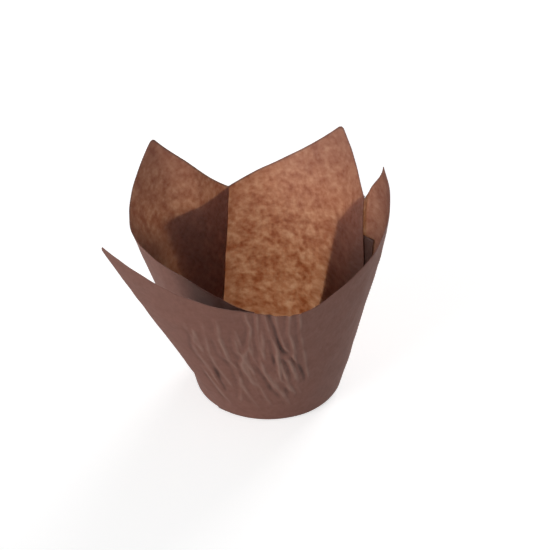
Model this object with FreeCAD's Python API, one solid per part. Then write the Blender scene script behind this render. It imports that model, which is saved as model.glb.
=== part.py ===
import FreeCAD, Part
import math
import os

# Cupcake liner: one square sheet of baking paper pressed over a round former, in millimetres.
# +Z is up, the former's flat end makes the floor at Z = 0 and the origin is the floor's centre.
# Azimuths are degrees clockwise from the back (+Y), seen from above.

# The sheet and the former
SHEET = {
    "sheet_side": 150,
    "corner_wear": 1,
    "base_diameter": 49,
    "paper_thickness": 0.25,
    "layer_gap": 0.2,
    "waist_height": 50,
    "tip_height": 80,
}

# The folds, as distances along the sheet's edge from the corner on their left as seen from inside,
# and as azimuths of their two ends. Skewed pleats end lower than the sheet they are folded from.
FOLDS = {
    "back_pleat_near_fold": 47.4,
    "back_pleat_width": 26.6,
    "right_pleat_near_fold": 26.1,
    "right_pleat_inner_width": 19.9,
    "right_pleat_middle_width": 25,
    "right_pleat_outer_width": 25,
    "right_pleat_inner_drop": 7,
    "right_pleat_outer_drop": 8,
    "left_pleat_corner_offset": 3,
    "left_pleat_width": 55.8,
    "left_tuck_width": 2,
    "back_left_corner_azimuth": -59,
    "back_pleat_near_foot_azimuth": -42,
    "back_pleat_far_foot_azimuth": -57,
    "back_pleat_far_azimuth": -57,
    "right_pleat_near_foot_azimuth": 92,
    "right_pleat_far_foot_azimuth": 39,
    "right_pleat_inner_azimuth": 41,
    "right_pleat_middle_azimuth": 73,
    "right_pleat_outer_azimuth": 41,
    "left_pleat_foot_azimuth": 220,
    "left_pleat_far_azimuth": 243.2,
}

# The wall all the way round, from the left pleat's inner fold clockwise to the front left tip, which
# overlaps the start: azimuth, radius at waist height and inward curl at tip height.
WALL = {
    "inner_left_fold": (-172.5, 32.4, 0),
    "inner_left_front": (-147, 28, 0),
    "inner_left_side": (-120, 29.5, 0),
    "left_shoulder": (-98, 37.1, 0),
    "left_side": (-80, 44, 0),
    "back_left_tip": (-52.2, 42.7, 4.5),
    "back_left_side": (-37, 37.9, 4.5),
    "back_fold": (-19.2, 39.8, 0),
    "back_side": (0, 42.1, 1.7),
    "back_right_tip": (34.6, 37.8, 1.3),
    "right_fold": (63.5, 33.5, 0.2),
    "front_right_tip": (76, 37.4, 7.1),
    "right_side": (105, 33.9, 0),
    "front_right_side": (136, 30.6, 0),
    "front_side": (166, 32.3, 0),
    "outer_left_fold": (187.5, 32.4, 0),
    "front_left_side": (212, 38.4, 0),
    "front_left_tip": (242.4, 48.4, 1.8),
    "front_left_end": (246, 49.4, 0),
}

# How finely the strips are drawn: grid points across and up, and the facets of a fold's bend
COLUMNS = 9
ROWS = 6
BEND_FACETS = 3

# How far a bend carries straight on out of its strip, as a share of the gap it closes
BEND_REACH = 2 / 3

# A strip that changes layer does so after this share of its width, over this share of it
LAYER_CHANGE_START = 0.45
LAYER_CHANGE_SPAN = 0.4

# The rim runs level for at least this share of its length, also where it climbs steeply to a tip
LEAST_LEVEL_SHARE = 0.3

# Half the azimuth step over which the wall's direction is taken, and the rounds of the two solvers
DIRECTION_STEP = 0.5
RIM_ROUNDS = 20
WALK_ROUNDS = 4

FULL_TURN = 360

doc = FreeCAD.newDocument("cupcake_liner")
sizes = doc.addObject("Spreadsheet::Sheet", "sizes")


def write_cells():
    cells = dict(SHEET)
    cells.update(FOLDS)
    for place, (azimuth, radius, curl) in WALL.items():
        cells[place + "_azimuth"] = azimuth
        cells[place + "_radius"] = radius
        cells[place + "_curl"] = curl
    for row, (name, value) in enumerate(cells.items(), start=1):
        sizes.set("A%d" % row, name.replace("_", " "))
        sizes.set("B%d" % row, str(value))
        sizes.setAlias("B%d" % row, name)
    doc.recompute()


write_cells()


def size(name):
    return float(getattr(sizes, name))


base_radius = size("base_diameter") / 2
half_side = size("sheet_side") / 2
thickness = size("paper_thickness")
layer_pitch = thickness + size("layer_gap")
waist = size("waist_height")
tip_rise = size("tip_height") - waist
left_tuck = math.degrees(size("left_tuck_width") / base_radius)


def wall_keys(column):
    return [(size(place + "_azimuth"), size(place + column)) for place in WALL]


radius_keys = wall_keys("_radius")
curl_keys = wall_keys("_curl")


# A smooth curve through the keys, with a slope at each key taken from its neighbours
def blend(keys, azimuth):
    last = len(keys) - 1
    index = 0
    while index < last - 1 and azimuth > keys[index + 1][0]:
        index += 1

    def slope(k):
        low = max(k - 1, 0)
        high = min(k + 1, last)
        return (keys[high][1] - keys[low][1]) / (keys[high][0] - keys[low][0])

    span = keys[index + 1][0] - keys[index][0]
    t = (azimuth - keys[index][0]) / span
    start, end = keys[index][1], keys[index + 1][1]
    rise = (2 * t ** 3 - 3 * t ** 2 + 1) * start + (3 * t ** 2 - 2 * t ** 3) * end
    bend = (t ** 3 - 2 * t ** 2 + t) * slope(index) + (t ** 3 - t ** 2) * slope(index + 1)
    return rise + bend * span


# The wall's radius: a cone up to and past the waist, with the tips curling in above it
def wall_radius(azimuth, height):
    flare = (blend(radius_keys, azimuth) - base_radius) * height / waist
    curl = blend(curl_keys, azimuth) * (max(0.0, height - waist) / tip_rise) ** 2
    return base_radius + flare - curl


def plan_point(azimuth, height):
    radius = wall_radius(azimuth, height)
    angle = math.radians(azimuth)
    return FreeCAD.Vector(radius * math.sin(angle), radius * math.cos(angle), height)


# The way the wall runs clockwise at a place, level
def plan_tangent(azimuth, height):
    before = plan_point(azimuth - DIRECTION_STEP, height)
    after = plan_point(azimuth + DIRECTION_STEP, height)
    return (after - before).normalize()


# A point of one layer: offset is how far it stands out from the wall's innermost sheet
def layer_point(azimuth, height, offset):
    along = plan_tangent(azimuth, height)
    outward = FreeCAD.Vector(-along.y, along.x, 0)
    return plan_point(azimuth, height) + outward * offset


# How high the sheet's edge comes where the wall stands at this azimuth. The slant length is the flat
# sheet's own, from the floor's edge to the sheet's edge.
def rim_height(reach, azimuth):
    corner = math.hypot(half_side, half_side) - size("corner_wear")
    slant = min(math.hypot(half_side, reach - half_side), corner) - base_radius
    height = slant
    for _ in range(RIM_ROUNDS):
        height = math.sqrt(slant ** 2 - (wall_radius(azimuth, height) - base_radius) ** 2)
    return height


# Rim stations between two places of the sheet's edge: level run decides how far round each one lies
def walk_rim(reaches, azimuths, drops):
    count = COLUMNS - 1
    path = [reaches[0] + (reaches[1] - reaches[0]) * i / count for i in range(COLUMNS)]
    turn = azimuths[1] - azimuths[0]
    around = [azimuths[0] + turn * i / count for i in range(COLUMNS)]
    for _ in range(WALK_ROUNDS):
        heights = [rim_height(path[i], around[i]) for i in range(COLUMNS)]
        steps = []
        for i in range(count):
            climb = heights[i + 1] - heights[i]
            stride = path[i + 1] - path[i]
            run = math.sqrt(max(stride ** 2 - climb ** 2, (LEAST_LEVEL_SHARE * stride) ** 2))
            steps.append(run / wall_radius((around[i] + around[i + 1]) / 2, heights[i]))
        total = sum(steps)
        around = [azimuths[0] + turn * sum(steps[:i]) / total for i in range(COLUMNS)]
    drop = [drops[0] + (drops[1] - drops[0]) * i / count for i in range(COLUMNS)]
    return [(around[i], rim_height(path[i], around[i]) - drop[i]) for i in range(COLUMNS)]


# A crease line or any other line from the floor's edge to the rim, straight in plan
def rising_line(foot, rim, offset, floor_height):
    rim_azimuth, rim_top = rim
    start = plan_point(foot, 0)
    end = plan_point(rim_azimuth, rim_top)
    points = []
    for row in range(ROWS):
        share = row / (ROWS - 1)
        spot = start + (end - start) * share
        turned = math.degrees(math.atan2(spot.x, spot.y)) - foot
        azimuth = foot + (turned + FULL_TURN / 2) % FULL_TURN - FULL_TURN / 2
        height = floor_height + (rim_top - floor_height) * share
        points.append(layer_point(azimuth, height, offset))
    return points


def through(points):
    curve = Part.BSplineCurve()
    curve.interpolate(Points=points, Parameters=[float(i) for i in range(len(points))])
    return curve


# A smooth face through a grid of points; neighbours that share a line of points share their edge
def skin(columns):
    across = [through(column) for column in columns]
    rows = [through(list(row)) for row in zip(*[curve.getPoles() for curve in across])]
    poles = [list(column) for column in zip(*[row.getPoles() for row in rows])]
    surface = Part.BSplineSurface()
    surface.buildFromPolesMultsKnots(
        poles,
        rows[0].getMultiplicities(),
        across[0].getMultiplicities(),
        rows[0].getKnots(),
        across[0].getKnots(),
        False,
        False,
        rows[0].Degree,
        across[0].Degree,
    )
    return surface.toShape()


# The strips of sheet between corners and folds, clockwise from the back left corner. Each has the
# reach of its two ends along the sheet's edge, their azimuths at the rim and at the floor, its layer
# at both ends, and how far its rim drops there.
def strips():
    side = size("sheet_side")
    feet = [size("back_left_corner_azimuth") + FULL_TURN / 4 * k for k in range(4)]
    back_near = size("back_pleat_near_fold")
    back_far = back_near + size("back_pleat_width")
    right_near = size("right_pleat_near_fold")
    right_far = right_near + size("right_pleat_inner_width")
    right_middle = right_far + size("right_pleat_middle_width")
    right_last = right_middle + size("right_pleat_outer_width")
    left_near = size("left_pleat_corner_offset")
    left_far = left_near + size("left_pleat_width")
    back_foot = size("back_pleat_near_foot_azimuth")
    back_end_foot = size("back_pleat_far_foot_azimuth")
    right_foot = size("right_pleat_near_foot_azimuth")
    right_end_foot = size("right_pleat_far_foot_azimuth")
    left_foot = size("left_pleat_foot_azimuth")
    left_end_foot = left_foot - left_tuck
    front_foot = feet[2] + (feet[3] - feet[2]) * (side - left_far) / side
    tip_bl = size("back_left_tip_azimuth")
    tip_br = size("back_right_tip_azimuth")
    tip_fr = size("front_right_tip_azimuth")
    tip_fl = size("front_left_tip_azimuth")
    back_fold = size("back_fold_azimuth")
    back_end = size("back_pleat_far_azimuth")
    right_fold = size("right_fold_azimuth")
    right_in = size("right_pleat_inner_azimuth")
    right_turn = size("right_pleat_middle_azimuth")
    right_out = size("right_pleat_outer_azimuth")
    left_turn = size("left_pleat_far_azimuth")
    left_out = size("outer_left_fold_azimuth")
    left_in = size("inner_left_fold_azimuth")
    in_drop = size("right_pleat_inner_drop")
    out_drop = size("right_pleat_outer_drop")
    level = (0, 0)
    back = [
        ((0, back_near), (tip_bl, back_fold), (feet[0], back_foot), (0, 0), level),
        ((back_near, back_far), (back_fold, back_end), (back_foot, back_end_foot), (1, 1), level),
        ((back_far, side), (back_end, tip_br), (back_end_foot, feet[1]), (2, 0), level),
    ]
    inward = (right_foot, right_end_foot)
    outward = (right_end_foot, right_foot)
    right = [
        ((0, right_near), (tip_br, right_fold), (feet[1], right_foot), (0, 0), level),
        ((right_near, right_far), (right_fold, right_in), inward, (1, 1), (0, in_drop)),
        ((right_far, right_middle), (right_in, right_turn), outward, (2, 2), (in_drop, 0)),
        ((right_middle, right_last), (right_turn, right_out), inward, (3, 3), (0, out_drop)),
        ((right_last, side), (right_out, tip_fr), (right_end_foot, feet[2]), (4, 4), (out_drop, 0)),
    ]
    front = [
        ((0, side - left_far), (tip_fr, left_out), (feet[2], front_foot), (4, 2), level),
        ((side - left_far, side), (left_out, tip_fl), (front_foot, feet[3]), (2, 2), level),
    ]
    left = [
        ((0, left_near), (tip_fl, left_turn), (feet[3], left_foot), (2, 2), level),
        ((left_near, left_far), (left_turn, left_out), (left_foot, left_end_foot), (1, 1), level),
        ((left_far, side), (left_in, tip_bl), (left_end_foot - FULL_TURN, feet[0]), (0, 0), level),
    ]
    return back + right + front + left


# A layer number along a strip that changes layer: it stays put under the pleat, then eases across
def layer_at(layers, share):
    ease = min(max((share - LAYER_CHANGE_START) / LAYER_CHANGE_SPAN, 0.0), 1.0)
    return layers[0] + (layers[1] - layers[0]) * (3 * ease ** 2 - 2 * ease ** 3)


# One side of a strip as a grid of points; face is -1 for the side towards the cup and 1 away from it
def strip_grid(strip, face, floor_height):
    reaches, azimuths, feet, layers, drops = strip
    turned_over = -1 if layers[0] % 2 else 1
    columns = []
    for i, rim in enumerate(walk_rim(reaches, azimuths, drops)):
        share = i / (COLUMNS - 1)
        foot = feet[0] + (feet[1] - feet[0]) * share
        offset = layer_at(layers, share) * layer_pitch + face * turned_over * thickness / 2
        columns.append(rising_line(foot, rim, offset, floor_height))
    return columns


# The bend of a fold, from the end of one strip to the start of the next
def bend_grid(last, first):
    columns = [last[-1]]
    for i in range(1, BEND_FACETS):
        t = i / BEND_FACETS
        column = []
        for start, before, end, after in zip(last[-1], last[-2], first[0], first[1]):
            handle = (end - start).Length * BEND_REACH
            leaving = start + level_direction(start - before) * handle
            arriving = end - level_direction(after - end) * handle
            near = start * (1 - t) ** 3 + leaving * (3 * t * (1 - t) ** 2)
            far = arriving * (3 * t ** 2 * (1 - t)) + end * t ** 3
            column.append(near + far)
        columns.append(column)
    columns.append(first[0])
    return columns


def level_direction(vector):
    return FreeCAD.Vector(vector.x, vector.y, 0).normalize()


# One side of the whole sheet: strips and, where the layer changes between them, the facets of a bend
def side_grids(face, floor_height):
    ring = strips()
    grids = [strip_grid(strip, face, floor_height) for strip in ring]
    result = []
    for k, grid in enumerate(grids):
        following = (k + 1) % len(grids)
        result.append(grid)
        if ring[k][3][1] != ring[following][3][0]:
            bend = bend_grid(grid, grids[following])
            result.extend([bend[i], bend[i + 1]] for i in range(BEND_FACETS))
    return result


def edge_of(points):
    if len(points) == 2:
        return Part.LineSegment(*points).toShape()
    return through(points).toShape()


def wall_face(columns):
    if len(columns) == 2:
        return Part.makeRuledSurface(edge_of(columns[0]), edge_of(columns[1]))
    return skin(columns)


def build_liner():
    inside = side_grids(-1, thickness)
    outside = side_grids(1, 0)
    faces = []
    for inner, outer in zip(inside, outside):
        faces.append(wall_face(inner))
        faces.append(wall_face(outer))
        inner_rim = edge_of([column[-1] for column in inner])
        outer_rim = edge_of([column[-1] for column in outer])
        faces.append(Part.makeRuledSurface(inner_rim, outer_rim))
    for grids in (inside, outside):
        outline = Part.Wire([edge_of([column[0] for column in grid]) for grid in grids])
        faces.append(Part.Face(outline))
    shell = Part.Compound(faces)
    shell.sewShape()
    solid = Part.makeSolid(shell.Shells[0])
    if solid.Volume < 0:
        solid.reverse()
    return solid


liner = doc.addObject("Part::Feature", "liner")
liner.Label = "liner"
liner.Shape = build_liner()
liner.Placement = FreeCAD.Placement()
doc.recompute()

pieces = [liner]
for item in doc.Objects:
    if "Invalid" in item.State or "Error" in item.State:
        raise RuntimeError("%s did not build" % item.Label)
for piece in pieces:
    if piece.Shape.isNull() or not piece.Shape.isValid():
        raise RuntimeError("%s is not a sound solid" % piece.Label)

os.makedirs("parts", exist_ok=True)
for piece in pieces:
    piece.Shape.exportStep("parts/%s.step" % piece.Label)
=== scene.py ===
import bmesh
import bpy
import math
import random
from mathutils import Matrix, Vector, noise


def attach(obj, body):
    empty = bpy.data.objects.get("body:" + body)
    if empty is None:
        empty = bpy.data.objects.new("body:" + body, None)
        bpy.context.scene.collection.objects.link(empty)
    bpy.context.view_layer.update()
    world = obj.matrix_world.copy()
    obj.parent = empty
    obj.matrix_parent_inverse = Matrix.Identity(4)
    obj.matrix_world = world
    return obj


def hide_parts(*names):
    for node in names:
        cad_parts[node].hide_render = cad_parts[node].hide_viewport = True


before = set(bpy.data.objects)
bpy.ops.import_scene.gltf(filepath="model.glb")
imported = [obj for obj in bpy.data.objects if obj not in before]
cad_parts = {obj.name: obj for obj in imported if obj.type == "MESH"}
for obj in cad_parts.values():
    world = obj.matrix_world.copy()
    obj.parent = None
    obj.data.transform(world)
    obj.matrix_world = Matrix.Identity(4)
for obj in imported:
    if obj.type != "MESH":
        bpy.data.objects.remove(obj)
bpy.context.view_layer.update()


# Camera. It looks down into the cup from the front, at the photograph's angle and distance.
mm = 0.001
camera_rise = math.radians(35.8)
camera_distance = 746 * mm
aim = Vector((2.52 * mm, 0, 42.9 * mm))
towards_camera = Vector((0, -math.cos(camera_rise), math.sin(camera_rise)))

camera_data = bpy.data.cameras.new("camera")
camera_data.sensor_width = 36
camera_data.lens = 145.7
camera = bpy.data.objects.new("camera", camera_data)
camera.location = aim + towards_camera * camera_distance
camera.rotation_euler = towards_camera.to_track_quat("Z", "Y").to_euler()
bpy.context.collection.objects.link(camera)
bpy.context.scene.camera = camera


# The liner: one square sheet of brown greaseproof paper, pressed over a round former. Its middle makes
# the round floor, its corners stand as four petals, and the slack of each side is laid in knife pleats,
# apart from the front, where it is crumpled into fine wrinkles.

# Lengths are in millimetres, and azimuths in degrees clockwise from the back, seen from above
sheet_side = 150
corner_wear = 0.4  # how far the sheet's corners are rounded off
floor_radius = 24.5
floor_bend = 1.2  # radius of the bend between floor and wall
paper = 0.09  # thickness of the sheet
layer_pitch = 0.34  # from one layer of a pleat to the next
pressed_share = 0.4  # how much of that pitch is left at the foot, where the former pressed the layers
pressed_height = 12  # where the layers are a full pitch apart
waist = 50  # height at which the wall's radius is given
tip_height = 80  # height at which its inward curl is given
first_corner_foot = -59  # azimuth of the back left corner's line at the floor
quarter_turn = 90
half_turn = 180
full_turn = 360

# azimuth, radius at the waist, inward curl at tip height
wall_places = [
    (-172.5, 32.4, 0),
    (-147, 28, 0),
    (-120, 29.5, 0),
    (-98, 37.1, 0),
    (-80, 44, 0),
    (-52.2, 42.7, 4.5),
    (-37, 37.9, 4.5),
    (-19.2, 39.8, 0),
    (0, 42.1, 1.7),
    (34.6, 37.8, 1.3),
    (63.5, 33.5, 0.2),
    (76, 37.4, 7.1),
    (105, 33.9, 0),
    (136, 30.6, 0),
    (166, 32.3, 0),
    (187.5, 32.4, 0),
    (212, 38.4, 0),
    (242.4, 48.4, 1.8),
    (246, 49.4, 0),
]

# The four sides of the sheet, clockwise from the back left corner, each as strips between its folds:
# reach along the sheet's edge, azimuths of the rim and of the foot, layers (0 is the innermost), drop of
# the rim, how far the ends stand off at the rim, columns
level = (0, 0)
flush = (0, 0)
sides = [
    [
        ((0, 47.4), (-52.2, -19.2), (-59, -42), (0, 0), level, flush, 40),
        ((47.4, 74), (-19.2, -57), (-42, -57), (1, 1), level, (0, 1.2), 20),
        ((74, 150), (-57, 34.6), (-57, 31), (2, 0), level, (1.2, 0), 60),
    ],
    [
        ((0, 26.1), (34.6, 63.5), (31, 92), (0, 0), level, flush, 24),
        ((26.1, 46), (63.5, 41), (92, 39), (1, 1), (0, 7), (0, 1.8), 14),
        ((46, 71), (41, 73), (39, 92), (2, 2), (7, 0), (1.8, 0), 14),
        ((71, 96), (73, 41), (92, 39), (3, 3), (0, 8), (0, 2.4), 14),
        ((96, 150), (41, 76), (39, 121), (4, 4), (8, 0), (2.4, 0), 36),
    ],
    [
        ((0, 91.2), (76, 187.5), (121, 175.7), (4, 2), level, flush, 200),
        ((91.2, 150), (187.5, 242.4), (175.7, 211), (2, 2), level, flush, 110),
    ],
    [
        ((0, 3), (242.4, 243.2), (211, 220), (2, 2), level, flush, 3),
        ((3, 58.8), (243.2, 187.5), (220, 215.3), (1, 1), level, flush, 40),
        ((58.8, 150), (-172.5, -52.2), (-144.7, -59), (0, 0), level, flush, 84),
    ],
]
layer_change_from = 0.45  # where along its strip the sheet starts to pass over or under its neighbours
layer_change_length = 0.4
bend_columns = 4  # steps round a fold
wall_rows = 64
floor_shares = (0, 0.3, 0.6, 0.85, 0.97)  # the floor's rings, as shares of its radius
floor_rows = len(floor_shares)


def clamped(share):
    return min(max(share, 0), 1)


def eased(share):
    share = clamped(share)
    return 3 * share ** 2 - 2 * share ** 3


# A smooth line through the places, read at one azimuth
def smooth_value(places, column, azimuth):
    last = len(places) - 1
    i = 0
    while i < last - 1 and azimuth > places[i + 1][0]:
        i += 1

    def slope(k):
        low, high = max(k - 1, 0), min(k + 1, last)
        return (places[high][column] - places[low][column]) / (places[high][0] - places[low][0])

    start, end = places[i][column], places[i + 1][column]
    span = places[i + 1][0] - places[i][0]
    t = (azimuth - places[i][0]) / span
    passing = (2 * t ** 3 - 3 * t ** 2 + 1) * start + (3 * t ** 2 - 2 * t ** 3) * end
    return passing + span * ((t ** 3 - 2 * t ** 2 + t) * slope(i) + (t ** 3 - t ** 2) * slope(i + 1))


# The wall is read many thousand times, so both lines are kept in steps of a quarter of a degree
first_azimuth = -half_turn
last_azimuth = 250
steps_per_degree = 4
steps = range(first_azimuth * steps_per_degree, last_azimuth * steps_per_degree + 1)
waist_radii = [smooth_value(wall_places, 1, step / steps_per_degree) for step in steps]
tip_curls = [smooth_value(wall_places, 2, step / steps_per_degree) for step in steps]


def looked_up(values, azimuth):
    place = (azimuth - first_azimuth) * steps_per_degree
    i = int(place)
    return values[i] + (values[i + 1] - values[i]) * (place - i)


def wall_radius(azimuth, height):
    flare = (looked_up(waist_radii, azimuth) - floor_radius) * height / waist
    curl = looked_up(tip_curls, azimuth) * (max(0, height - waist) / (tip_height - waist)) ** 2
    return floor_radius + flare - curl


def wall_point(azimuth, height):
    radius = wall_radius(azimuth, height)
    turn = math.radians(azimuth)
    return Vector((radius * math.sin(turn), radius * math.cos(turn), height))


def wall_outward(azimuth, height):
    nudge = 0.5
    along = wall_point(azimuth + nudge, height) - wall_point(azimuth - nudge, height)
    return Vector((-along.y, along.x, 0)).normalized()


# The sheet's edge lies as far from the floor up the wall as it does on the flat sheet
def rim_height(reach, azimuth):
    corner = math.hypot(sheet_side / 2, sheet_side / 2) - corner_wear
    slant = min(math.hypot(sheet_side / 2, reach - sheet_side / 2), corner) - floor_radius
    height = slant
    closing_rounds = 12
    for _ in range(closing_rounds):
        height = math.sqrt(slant ** 2 - (wall_radius(azimuth, height) - floor_radius) ** 2)
    return height


# The rim climbs steeply beside a corner, so a stretch of edge there turns less far round the cup.
# A pleat's hidden rim drops towards its fold.
def rim_places(reaches, azimuths, drops, count):
    reach = [reaches[0] + (reaches[1] - reaches[0]) * i / count for i in range(count + 1)]
    turn = azimuths[1] - azimuths[0]
    around = [azimuths[0] + turn * i / count for i in range(count + 1)]
    closing_rounds = 3
    least_run = 0.3  # the least share of its length that a stretch goes round the cup
    for _ in range(closing_rounds):
        tops = [rim_height(reach[i], around[i]) for i in range(count + 1)]
        total = 0
        walked = [0]
        for i in range(count):
            stride = reach[i + 1] - reach[i]
            run = math.sqrt(max(stride ** 2 - (tops[i + 1] - tops[i]) ** 2, (least_run * stride) ** 2))
            total += run / wall_radius((around[i] + around[i + 1]) / 2, tops[i])
            walked.append(total)
        around = [azimuths[0] + turn * w / total for w in walked]
    drop = [drops[0] * (1 - i / count) ** 2 + drops[1] * (i / count) ** 2 for i in range(count + 1)]
    return [(reach[i], around[i], rim_height(reach[i], around[i]) - drop[i]) for i in range(count + 1)]


# Wrinkles of the front wall, laid one by one after the photograph: routes of the sharp ridges and of the
# deeper valleys, from the top down, as azimuth and height
ridges = [
    [(213, 47.2), (213.3, 38.1), (213.7, 32.1), (212.1, 27.1), (209.5, 23.1), (205.9, 19.1), (203.4, 16.1)],
    [(206.6, 49.1), (206.2, 43), (205.6, 35.9), (204, 29.9), (200.5, 26.8), (198.1, 24.8)],
    [(199.5, 41.8), (198, 36.7), (197.8, 33.7), (194.2, 30.7), (192.9, 27.7), (188.2, 23.7)],
    [
        (192.5, 53), (191.9, 48.7), (189.3, 44.6), (191.4, 38.6), (191.2, 35.6), (188.6, 30.6), (185, 26.6),
        (179.2, 21.8), (173.8, 16.9), (168.7, 12.9),
    ],
    [
        (191.2, 35.6), (194.3, 31.7), (196.2, 27.7), (193.7, 23.8), (190.1, 19.8), (184.5, 16.8),
        (181.1, 12), (176.8, 8.1),
    ],
    [(197.7, 20.9), (198.5, 18), (198, 14.1), (199.3, 9.4)],
    [(186, 52), (185.8, 46.6), (185.6, 41.6), (184.2, 35.6), (181.7, 30.7), (179.4, 28.7)],
    [
        (181.5, 51), (179.7, 45.8), (177.3, 39.8), (173.9, 34.9), (172.8, 28.9), (171.7, 22.9), (170.7, 19.9),
        (164.5, 15.8), (159.5, 12.8),
    ],
    [(176, 54), (175.1, 49.1), (173.9, 44), (171.7, 40), (169.6, 36), (164.3, 30.9), (160.1, 26.8)],
    [(167.4, 54), (167.4, 48.3), (167.4, 42.1), (164.2, 36), (161.1, 30.9)],
    [(162.4, 56), (161.8, 50.3), (159.8, 40), (156.8, 31.9), (153.9, 24.8), (151.2, 17.8)],
    [(169.6, 30.9), (165.4, 27.9), (162.3, 23.8)],
    [(217.9, 43.2), (220.4, 36.2), (221, 32.2)],
]
valleys = [
    [
        (180.5, 55), (178.6, 48.9), (175.1, 44), (173.9, 38.9), (171.7, 34.9), (166.4, 31.9), (162.2, 26.8),
        (159.1, 25.8), (156.1, 22.8), (153.2, 17.8),
    ],
    [(213.7, 24.1), (212, 19.2), (208.9, 13.4)],
]
wrinkled_azimuths = (140, 230)
ridge_height = 0.32
ridge_width = 0.6
crest_sharpness = 1.5
hollow_shift = 2.2 * ridge_width  # from the crest to the hollow on its right
hollow_width = 1.4 * ridge_width
hollow_depth = 0.5
# hollow_shade and valley_shade set painted shade, which darkens the paper's colour in the hollows and valleys
hollow_shade = 0.45
valley_depth = 1.6 * ridge_height
valley_width = 1.2 * ridge_width
valley_shade = 1.2

# Finer creases fill the space between: each starts at random and runs down along its neighbours, which
# lean over more and more below the height where they start to spread
random.seed(7)
fine_crease_count = 48
fine_crease_azimuths = (158, 222)
fine_crease_tops = (20, 48)
fine_crease_points = (4, 7)
fine_crease_steps = (2, 4)
lean_at_top = 0.25
lean_gained = 0.8
lean_from = 36
lean_over = 30
lean_scatter = 0.25
fine_creases = []
for _ in range(fine_crease_count):
    azimuth, height = random.uniform(*fine_crease_azimuths), random.uniform(*fine_crease_tops)
    route = []
    for _ in range(random.randint(*fine_crease_points)):
        route.append((azimuth, height))
        scatter = random.uniform(-lean_scatter, lean_scatter)
        lean = lean_at_top + lean_gained * max(0, lean_from - height) / lean_over + scatter
        drop = random.uniform(*fine_crease_steps)
        azimuth, height = azimuth - lean * drop, height - drop
    fine_creases.append(route)


# How far a place lies to the right of a route (to the left, below 0), and how far along the route
def beside(route, azimuth, height):
    nearest, along = 99.0, 0.0
    arc = math.radians(1) * wall_radius(azimuth, height)
    for k, ((a0, h0), (a1, h1)) in enumerate(zip(route, route[1:])):
        across, up = (a1 - a0) * arc, h1 - h0
        px, py = (azimuth - a0) * arc, height - h0
        t = clamped((px * across + py * up) / (across ** 2 + up ** 2))
        dx, dy = px - t * across, py - t * up
        d = math.hypot(dx, dy)
        if d < abs(nearest):
            nearest = math.copysign(d, across * dy - up * dx)
            along = (k + t) / (len(route) - 1)
    return nearest, along


# Past this box of azimuths and heights, a route has no effect on the wall
def reach_of(route):
    side_margin = 6
    end_margin = 3
    azimuths = [azimuth for azimuth, height in route]
    heights = [height for azimuth, height in route]
    return (
        min(azimuths) - side_margin, max(azimuths) + side_margin, min(heights) - end_margin,
        max(heights) + end_margin,
    )


fine_crease_strength = 0.65
creases = [(route, reach_of(route), 1.0) for route in ridges]
creases += [(route, reach_of(route), fine_crease_strength) for route in fine_creases]
dips = [(route, reach_of(route)) for route in valleys]


def near(box, azimuth, height):
    return box[0] < azimuth < box[1] and box[2] < height < box[3]


def end_fade(along, at_the_end, growth):
    return min(1, at_the_end + growth * along * (1 - along))


# How far the wrinkles lift the wall, and how much paler (above 0) or darker with painted shade (below 0) the
# paper is. A ridge has a sharp crest, paler along it, with a soft hollow to its right that holds painted
# shade; the valleys hold painted shade too. Wrinkles fade out at both ends, and all of them are stronger in
# some patches than in others.
patch_turn = 6
patch_rise = 4
usual_strength = 0.85
strength_swing = 0.7


def wrinkle(azimuth, height):
    rise = 0.0
    tone = 0.0
    if not wrinkled_azimuths[0] < azimuth < wrinkled_azimuths[1]:
        return rise, tone
    for route, box, strength in creases:
        if near(box, azimuth, height):
            d, along = beside(route, azimuth, height)
            fade = strength * end_fade(along, 0.4, 6)
            crest = math.exp(-(abs(d) / ridge_width) ** crest_sharpness)
            hollow = math.exp(-((d - hollow_shift) / hollow_width) ** 2)
            rise += fade * ridge_height * (crest - hollow_depth * hollow)
            tone += fade * (crest - hollow_shade * hollow)
    for route, box in dips:
        if near(box, azimuth, height):
            d, along = beside(route, azimuth, height)
            dip = end_fade(along, 0.3, 4) * math.exp(-(d / valley_width) ** 2)
            rise -= valley_depth * dip
            tone -= valley_shade * dip
    patch = noise.noise(Vector((azimuth / patch_turn, height / patch_rise, 2)))
    patchy = usual_strength + strength_swing * patch
    return rise * patchy, tone * patchy


# The whole wall is a little uneven too, in broad and in small bulges that start above the floor
broad_bulge, broad_bulge_height = 17, 0.3
small_bulge, small_bulge_height = 6, 0.22
small_bulge_shift = Vector((9, 4, 1))
bulges_full_from = 20


def crumple(azimuth, height):
    place = wall_point(azimuth, height)
    broad = noise.noise(place / broad_bulge) * broad_bulge_height
    small = noise.noise(place / small_bulge + small_bulge_shift) * small_bulge_height
    rise, tone = wrinkle(azimuth, height)
    return (broad + small) * min(height / bulges_full_from, 1) + rise, tone


# How much light the paper lets through is lowered by zone as painted shade: little on the crumpled front,
# far more on the smooth back. Its clear zone widens with height, most on the left, and gets duller towards
# the left and towards the petals' tips.
least_light = 0.1
clear_to_left, clear_to_right = 50, 52
right_widening = 0.4
widens_from, widens_over = 42, 16
clear_zone_fade = 34
left_dulling, left_dulling_from, left_dulling_over = 0.16, 15, 35
tip_dulling, tip_dulling_from, tip_dulling_over = 0.34, 52, 24
cut_edge_shade = 0.35  # the cut edge shows as a thin dark line
floor_light_through = 0.12  # the floor lies on the table, which lets little light in under it


def painted_light_through(azimuth, height):
    turned = (azimuth + half_turn) % full_turn - half_turn
    risen = min(max(height - widens_from, 0), widens_over)
    clear_to = clear_to_left + risen if turned < 0 else clear_to_right + right_widening * risen
    leftward = clamped((-turned - left_dulling_from) / left_dulling_over)
    upward = clamped((height - tip_dulling_from) / tip_dulling_over)
    clear = 1 - left_dulling * leftward - tip_dulling * upward
    return least_light + clear * eased(1 - (abs(turned) - clear_to) / clear_zone_fade)
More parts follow.
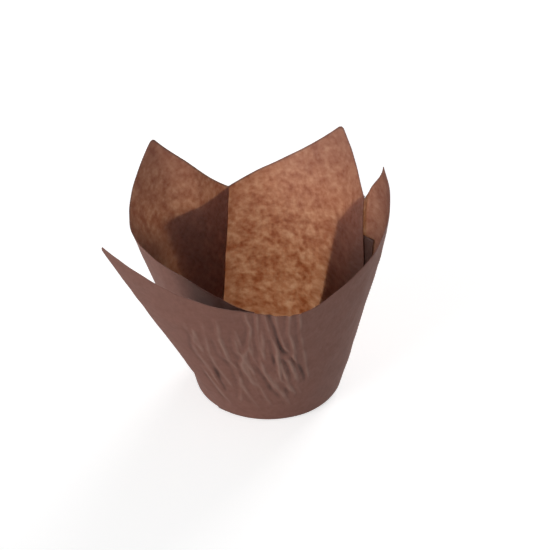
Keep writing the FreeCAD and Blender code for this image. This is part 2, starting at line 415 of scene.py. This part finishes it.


# One line of the sheet from the foot of the wall to the rim: its points, the wrinkles' paling and painted
# shade, and how much light the paper lets through, which is lowered by zone as painted shade
def wall_line(foot, rim_azimuth, rim_top, offset, stand_off):
    start, end = wall_point(foot, 0), wall_point(rim_azimuth, rim_top)
    line = []
    tones = []
    through = []
    for row in range(wall_rows + 1):
        share = row / wall_rows
        spot = start.lerp(end, share)
        turned = math.degrees(math.atan2(spot.x, spot.y)) - foot
        azimuth = foot + (turned + half_turn) % full_turn - half_turn
        height = rim_top * share
        inset = floor_bend - math.sqrt(floor_bend ** 2 - max(0, floor_bend - height) ** 2)
        rise, tone = crumple(azimuth, height)
        point = wall_point(azimuth, height)
        spread = pressed_share + (1 - pressed_share) * min(height / pressed_height, 1)
        point += wall_outward(azimuth, height) * (offset * spread + stand_off * share + rise - inset)
        line.append(point + Vector((0, 0, paper / 2)))
        tones.append(tone)
        through.append(painted_light_through(azimuth, height) * (cut_edge_shade if row == wall_rows else 1))
    return line, tones, through


def layer_at(layers, share):
    return layers[0] + (layers[1] - layers[0]) * eased((share - layer_change_from) / layer_change_length)


def flat_rim(side, reach):
    x, y = reach - sheet_side / 2, sheet_side / 2
    turn = math.radians(first_corner_foot + quarter_turn / 2 + quarter_turn * side)
    return Vector((x * math.cos(turn) + y * math.sin(turn), y * math.cos(turn) - x * math.sin(turn), 0))


# Every column of the sheet, once round: its wall line, and its foot and rim on the flat sheet. The two
# middle layers of the right pleat lie in deep shade beside the fold, and that shade is painted into their
# paper's colour.
shaded_strips = {(1, 2), (1, 3)}
shaded_tone = -1.1
columns = []
for side, strips in enumerate(sides):
    swept = sum(abs(feet[1] - feet[0]) for reaches, azimuths, feet, *_ in strips)
    flat_angle = first_corner_foot + quarter_turn * side
    for number, (reaches, azimuths, feet, layers, drops, ends, count) in enumerate(strips):
        flat_turn = quarter_turn * abs(feet[1] - feet[0]) / swept
        for i, (reach, azimuth, top) in enumerate(rim_places(reaches, azimuths, drops, count)):
            share = i / count
            foot = feet[0] + (feet[1] - feet[0]) * share
            offset = layer_at(layers, share) * layer_pitch
            stand_off = ends[0] * (1 - share) ** 2 + ends[1] * share ** 2
            line, tones, through = wall_line(foot, azimuth, top, offset, stand_off)
            if (side, number) in shaded_strips:
                tones = [tone + shaded_tone for tone in tones]
            columns.append({
                "line": line,
                "tones": tones,
                "through": through,
                "foot": math.radians(flat_angle + flat_turn * share),
                "rim": flat_rim(side, reach),
                "layer": layers[0],
                "last": i == count,
            })
        flat_angle += flat_turn


# One line of the round bend at a fold, a share t of the way from one strip's edge to the next one's
def bend_line(before, start, end, after, t):
    line = []
    for a, p, q, b in zip(before["line"], start["line"], end["line"], after["line"]):
        handle = (q - p).length * 2 / 3
        leaving = p + (p - a).normalized() * handle
        arriving = q - (b - q).normalized() * handle
        line.append(
            p * (1 - t) ** 3 + leaving * 3 * t * (1 - t) ** 2 + arriving * 3 * t ** 2 * (1 - t) + q * t ** 3
        )
    return line


# Strips meet at a fold, with its bend between them, or else they share a column
ring = []
for i, column in enumerate(columns):
    following = columns[(i + 1) % len(columns)]
    folded = abs(column["layer"] - following["layer"]) == 1
    if folded or not column["last"]:
        ring.append(column)
    if folded:
        for k in range(1, bend_columns):
            after = columns[(i + 2) % len(columns)]
            bend = bend_line(columns[i - 1], column, following, after, k / bend_columns)
            ring.append(dict(column, line=bend))
ring.append(dict(ring[0], foot=ring[0]["foot"] + 2 * math.pi))

# The sheet is a grid, wrapped once round: its lower rows make the floor, and the others the wall
grid_half = 0.5
merge_distance = 0.002
sheet = bmesh.new()
bmesh.ops.create_grid(sheet, x_segments=len(ring) - 1, y_segments=wall_rows + floor_rows, size=grid_half)
flat_layer = sheet.loops.layers.uv.new("flat_sheet")
# The paling along the crests, and the painted shade in the hollows, the valleys and the right pleat's middle
# layers
crease_layer = sheet.verts.layers.float.new("crest_paling_and_painted_shade")
# How much light the paper lets through, lowered by zone as painted shade
through_layer = sheet.verts.layers.float.new("light_through_painted_by_zone")
flat_places = {}
floor_edge = floor_radius - floor_bend
for v in sheet.verts:
    column = ring[round((v.co.x + grid_half) * (len(ring) - 1))]
    row = round((v.co.y + grid_half) * (wall_rows + floor_rows)) - floor_rows
    v[through_layer] = column["through"][row] if row > 0 else floor_light_through
    foot = Vector((math.sin(column["foot"]), math.cos(column["foot"]), 0)) * floor_radius
    if row < 0:
        share = floor_shares[row + floor_rows]
        v.co = foot * (share * floor_edge / floor_radius) + Vector((0, 0, paper / 2))
        flat_places[v] = foot * share
    else:
        v.co = column["line"][row]
        v[crease_layer] = column["tones"][row]
        flat_places[v] = foot.lerp(column["rim"], row / wall_rows)
for face in sheet.faces:
    for loop in face.loops:
        place = flat_places[loop.vert] / sheet_side
        loop[flat_layer].uv = (place.x + 0.5, place.y + 0.5)
bmesh.ops.remove_doubles(sheet, verts=sheet.verts, dist=merge_distance)
bmesh.ops.recalc_face_normals(sheet, faces=sheet.faces)
bmesh.ops.scale(sheet, verts=sheet.verts, vec=Vector((mm, mm, mm)))
for face in sheet.faces:
    face.smooth = True
mesh = bpy.data.meshes.new("paper_sheet")
sheet.to_mesh(mesh)
sheet.free()
liner = bpy.data.objects.new("paper_sheet", mesh)
bpy.context.collection.objects.link(liner)
thickness = liner.modifiers.new("paper thickness", "SOLIDIFY")
thickness.thickness = paper * mm
thickness.offset = 0


def srgb(hex_colour):
    channels = [int(hex_colour[i:i + 2], 16) / 255 for i in (1, 3, 5)]
    return [c / 12.92 if c <= 0.04045 else ((c + 0.055) / 1.055) ** 2.4 for c in channels] + [1]


def add_node(tree, kind, settings=None, links=None):
    node = tree.nodes.new(kind)
    for name, value in (settings or {}).items():
        if isinstance(name, int) or name in node.inputs:
            node.inputs[name].default_value = value
        else:
            setattr(node, name, value)
    for name, socket in (links or {}).items():
        tree.links.new(socket, node.inputs[name])
    return node


# Greaseproof paper, dyed brown and calendered: matt with a faint sheen, and thin enough for light to
# come through, so one layer glows orange-brown against the light and folded layers go dark. Its fibre
# clumps show as a cloudy mottle of a few millimetres, creases are paler along their crests, and painted shade
# darkens the hollows, the valleys and the right pleat's middle layers.
clump_size = 4.5
speck_size = 1.7
speck_share = 0.42
grain_depth = 0.05
greaseproof = bpy.data.materials.new("brown_greaseproof_paper")
greaseproof.use_nodes = True
tree = greaseproof.node_tree
tree.nodes.clear()
flat_map = add_node(tree, "ShaderNodeUVMap", {"uv_map": "flat_sheet"})
crest_paling_and_painted_shade = add_node(tree, "ShaderNodeAttribute", {"attribute_name": "crest_paling_and_painted_shade"})
let_through = add_node(tree, "ShaderNodeAttribute", {"attribute_name": "light_through_painted_by_zone"})
clumps = add_node(
    tree,
    "ShaderNodeTexNoise",
    {"Scale": sheet_side / clump_size, "Detail": 3, "Roughness": 0.6},
    {"Vector": flat_map.outputs[0]},
)
specks = add_node(
    tree,
    "ShaderNodeTexNoise",
    {"Scale": sheet_side / speck_size, "Detail": 2, "Roughness": 0.5},
    {"Vector": flat_map.outputs[0]},
)
# A Mix node's inputs 2 and 3 are the two numbers that it mixes, and 6 and 7 the two colours
mottle = add_node(
    tree,
    "ShaderNodeMix",
    {"data_type": "FLOAT", "Factor": speck_share},
    {2: clumps.outputs[0], 3: specks.outputs[0]},
)

# The colour of the light that comes through: deep orange in the clumps, pale between them
glow = add_node(tree, "ShaderNodeValToRGB", {}, {"Fac": mottle.outputs[0]})
glow.color_ramp.elements[0].position = 0.37
glow.color_ramp.elements[0].color = srgb("#BE8C68")
glow.color_ramp.elements[1].position = 0.65
glow.color_ramp.elements[1].color = srgb("#E7CAB0")
# The light that comes through is lowered by zone, as painted shade
shaded_glow = add_node(
    tree,
    "ShaderNodeVectorMath",
    {"operation": "SCALE"},
    {0: glow.outputs[0], "Scale": let_through.outputs["Fac"]},
)

# The colour of the face, paler on the crests and darkened with painted shade in the hollows, the valleys and
# the right pleat's middle layers
face_colour = add_node(tree, "ShaderNodeValToRGB", {}, {"Fac": mottle.outputs[0]})
face_colour.color_ramp.elements[0].position = 0.3
face_colour.color_ramp.elements[0].color = srgb("#956557")
face_colour.color_ramp.elements[1].position = 0.7
face_colour.color_ramp.elements[1].color = srgb("#A37062")
crest_paling = add_node(
    tree,
    "ShaderNodeMapRange",
    {"From Min": 0.15, "From Max": 1, "To Min": 0, "To Max": 1},
    {"Value": crest_paling_and_painted_shade.outputs["Fac"]},
)
pale = add_node(
    tree,
    "ShaderNodeMix",
    {"data_type": "RGBA", 7: srgb("#B08677")},
    {0: crest_paling.outputs[0], 6: face_colour.outputs[0]},
)
# Painted shade: where the tone is below 0, the face is mixed towards a deep brown
painted_shade_share = add_node(
    tree,
    "ShaderNodeMapRange",
    {"From Min": -0.15, "From Max": -1.2, "To Min": 0, "To Max": 0.75},
    {"Value": crest_paling_and_painted_shade.outputs["Fac"]},
)
painted_shade_mix = add_node(
    tree,
    "ShaderNodeMix",
    {"data_type": "RGBA", 7: srgb("#4A302A")},
    {0: painted_shade_share.outputs[0], 6: pale.outputs[2]},
)
grain = add_node(
    tree,
    "ShaderNodeBump",
    {"Strength": 0.25, "Distance": grain_depth * mm},
    {"Height": specks.outputs[0]},
)
surface = add_node(
    tree,
    "ShaderNodeBsdfPrincipled",
    {"Roughness": 0.55, "Specular IOR Level": 0.5},
    {"Base Color": painted_shade_mix.outputs[2], "Normal": grain.outputs[0]},
)
through_light = add_node(tree, "ShaderNodeBsdfTranslucent", {}, {"Color": shaded_glow.outputs[0]})
paper_shader = add_node(
    tree, "ShaderNodeMixShader", {"Fac": 0.5}, {1: surface.outputs[0], 2: through_light.outputs[0]}
)
add_node(tree, "ShaderNodeOutputMaterial", {}, {"Surface": paper_shader.outputs[0]})
mesh.materials.append(greaseproof)
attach(liner, "root")
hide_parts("liner")


# The stage, in metres: a plain white table that keeps the liner's shadow, a white sky and two soft lamps.
table_half = 1.5
table_white = (0.8, 0.8, 0.8, 1)
table_lift = (0.6, 0.6, 0.6, 1)
pure_white = (1, 1, 1, 1)


# The rays that see the table and the backdrop white: straight from the camera, mirrored or let through
def rays_in_view(tree):
    ray = add_node(tree, "ShaderNodeLightPath")
    bounced = add_node(
        tree,
        "ShaderNodeMath",
        {"operation": "MAXIMUM"},
        {0: ray.outputs["Is Glossy Ray"], 1: ray.outputs["Is Transmission Ray"]},
    )
    in_view = add_node(
        tree,
        "ShaderNodeMath",
        {"operation": "MAXIMUM"},
        {0: ray.outputs["Is Camera Ray"], 1: bounced.outputs[0]},
    )
    return in_view.outputs[0]


table = bmesh.new()
bmesh.ops.create_grid(table, x_segments=1, y_segments=1, size=table_half)
table_mesh = bpy.data.meshes.new("table")
table.to_mesh(table_mesh)
table.free()
floor = bpy.data.objects.new("table", table_mesh)
bpy.context.collection.objects.link(floor)
white = bpy.data.materials.new("white_table")
white.use_nodes = True
tree = white.node_tree
tree.nodes.clear()
matt = add_node(tree, "ShaderNodeBsdfDiffuse", {"Color": table_white})
lift = add_node(tree, "ShaderNodeEmission", {"Color": table_lift}, {"Strength": rays_in_view(tree)})
both = add_node(tree, "ShaderNodeAddShader", {}, {0: matt.outputs[0], 1: lift.outputs[0]})
add_node(tree, "ShaderNodeOutputMaterial", {}, {"Surface": both.outputs[0]})
table_mesh.materials.append(white)

# The sky is brightest at the horizon and towards the front, and dim overhead, so that the cup's inside
# stays dark
world = bpy.data.worlds.new("studio")
bpy.context.scene.world = world
world.use_nodes = True
tree = world.node_tree
tree.nodes.clear()
direction = add_node(tree, "ShaderNodeTexCoord")
axes = add_node(tree, "ShaderNodeSeparateXYZ", {}, {0: direction.outputs["Generated"]})
upwards = add_node(
    tree,
    "ShaderNodeMapRange",
    {"From Min": 0.1, "From Max": 0.75, "To Min": 1.02, "To Max": 0.1},
    {"Value": axes.outputs["Z"]},
)
backwards = add_node(
    tree,
    "ShaderNodeMapRange",
    {"From Min": -1, "From Max": 1, "To Min": 1.25, "To Max": 0.85},
    {"Value": axes.outputs["Y"]},
)
brightness = add_node(
    tree, "ShaderNodeMath", {"operation": "MULTIPLY"}, {0: upwards.outputs[0], 1: backwards.outputs[0]}
)
sky = add_node(tree, "ShaderNodeBackground", {"Color": pure_white}, {"Strength": brightness.outputs[0]})
backdrop = add_node(tree, "ShaderNodeBackground", {"Color": pure_white, "Strength": 1})
either = add_node(
    tree, "ShaderNodeMixShader", {}, {0: rays_in_view(tree), 1: sky.outputs[0], 2: backdrop.outputs[0]}
)
add_node(tree, "ShaderNodeOutputWorld", {}, {"Surface": either.outputs[0]})

# A key light from the left front, and one behind on the right that shines through the back petals
softboxes = [
    ("key_softbox", Vector((-1.5, -1.2, 0.46)), 1, 22),
    ("back_softbox", Vector((0.8, 1.6, 0.36)), 0.9, 34),
]
for name, place, width, energy in softboxes:
    lamp_data = bpy.data.lights.new(name, "AREA")
    lamp_data.size = width
    lamp_data.energy = energy
    lamp = bpy.data.objects.new(name, lamp_data)
    lamp.location = place
    lamp.rotation_euler = (place - aim).to_track_quat("Z", "Y").to_euler()
    bpy.context.collection.objects.link(lamp)

bpy.context.scene.view_settings.view_transform = "Standard"
